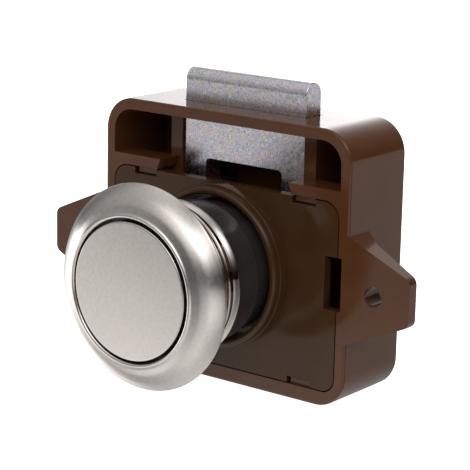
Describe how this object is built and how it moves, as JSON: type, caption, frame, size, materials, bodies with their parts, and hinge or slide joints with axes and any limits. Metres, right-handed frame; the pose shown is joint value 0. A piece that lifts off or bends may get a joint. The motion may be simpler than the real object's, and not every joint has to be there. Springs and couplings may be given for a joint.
{
  "type": "pushbutton lock",
  "caption": "Surface-mounted cupboard lock: moulded case with screw ears, sliding steel bolt, and a round push knob that locks when pressed in and springs out when pressed again.",
  "frame": {"origin": "centre of the two ear screw holes on the case's front face, which is also where the knob's axis crosses that face", "axes": "+Y along the knob's axis from the knob into the case, +Z the way the bolt is thrown, +X to the right seen from the knob"},
  "size_m": [0.066, 0.0347, 0.0455],
  "materials": {
    "brown_plastic": "satin moulded, red-brown",
    "black_plastic": "satin moulded, black",
    "plated_metal": "satin nickel on the flange, bright on the barrel",
    "satin_nickel": "satin nickel",
    "zinc_plated_steel": "zinc plated, mottled",
    "spring_steel": "bright drawn"
  },
  "bodies": {
    "lock_case": {"case": "brown_plastic", "cover_plate": "brown_plastic", "knob_ring": "plated_metal", "knob_sleeve": "black_plastic", "main_spring": "spring_steel", "latch_spring": "spring_steel"},
    "button": {"plunger": "black_plastic", "button_cap": "satin_nickel", "drive_peg_right": "spring_steel", "drive_peg_left": "spring_steel"},
    "sliding_bolt": {"bolt": "zinc_plated_steel", "bolt_carrier": "black_plastic", "carrier_rivet_right": "spring_steel", "carrier_rivet_left": "spring_steel"}
  },
  "joints": [
    {"name": "button_slide", "type": "slide", "parent": "lock_case", "child": "button", "axis": [0, 1, 0], "range_m": [-0.0066, 0.0006], "deforming": ["main_spring", "latch_spring"]},
    {"name": "bolt_slide", "type": "slide", "parent": "lock_case", "child": "sliding_bolt", "axis": [0, 0, 1], "range_m": [-0.00496, 0.00046]}
  ],
  "couplings": [
    {"joint": "bolt_slide", "follows": "button_slide", "ratio": 0.75}
  ]
}
